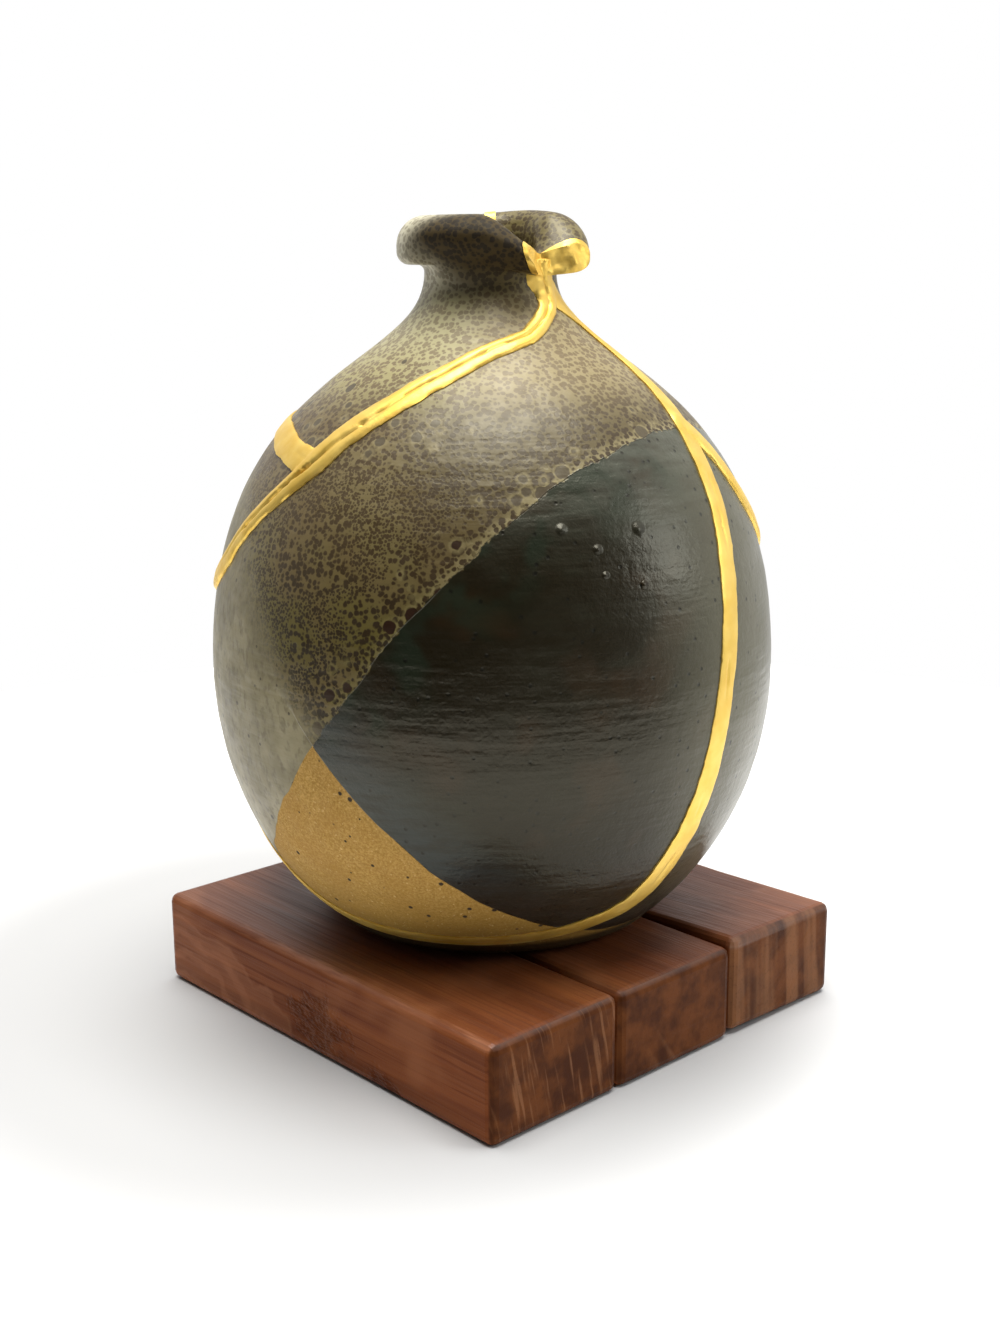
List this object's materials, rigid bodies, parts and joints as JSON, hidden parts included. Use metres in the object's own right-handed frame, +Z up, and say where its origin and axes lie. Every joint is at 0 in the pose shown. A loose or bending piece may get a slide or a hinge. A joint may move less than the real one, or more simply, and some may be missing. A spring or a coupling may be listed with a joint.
{
  "type": "kintsugi vase",
  "caption": "Round-bellied stoneware vase with a narrow neck and rolled lip, mended with gold seams, standing on a plinth of edge-joined wooden boards.",
  "frame": {"origin": "on the vase's axis at the plinth's underside, which is also the middle of the bounding box's bottom", "axes": "+Z up along the vase's axis; the plinth's boards run along X and lie side by side along Y; the show side faces +X and -Y, about 43 degrees from +X"},
  "size_m": [0.1562, 0.156, 0.22],
  "materials": {
    "stoneware": "gloss",
    "gold_lacquer": "satin",
    "plinth_wood": "satin"
  },
  "bodies": {
    "root": {"vase_body": "stoneware", "gold_seams": "gold_lacquer", "board_front": "plinth_wood", "board_middle": "plinth_wood", "board_back": "plinth_wood"}
  },
  "joints": []
}
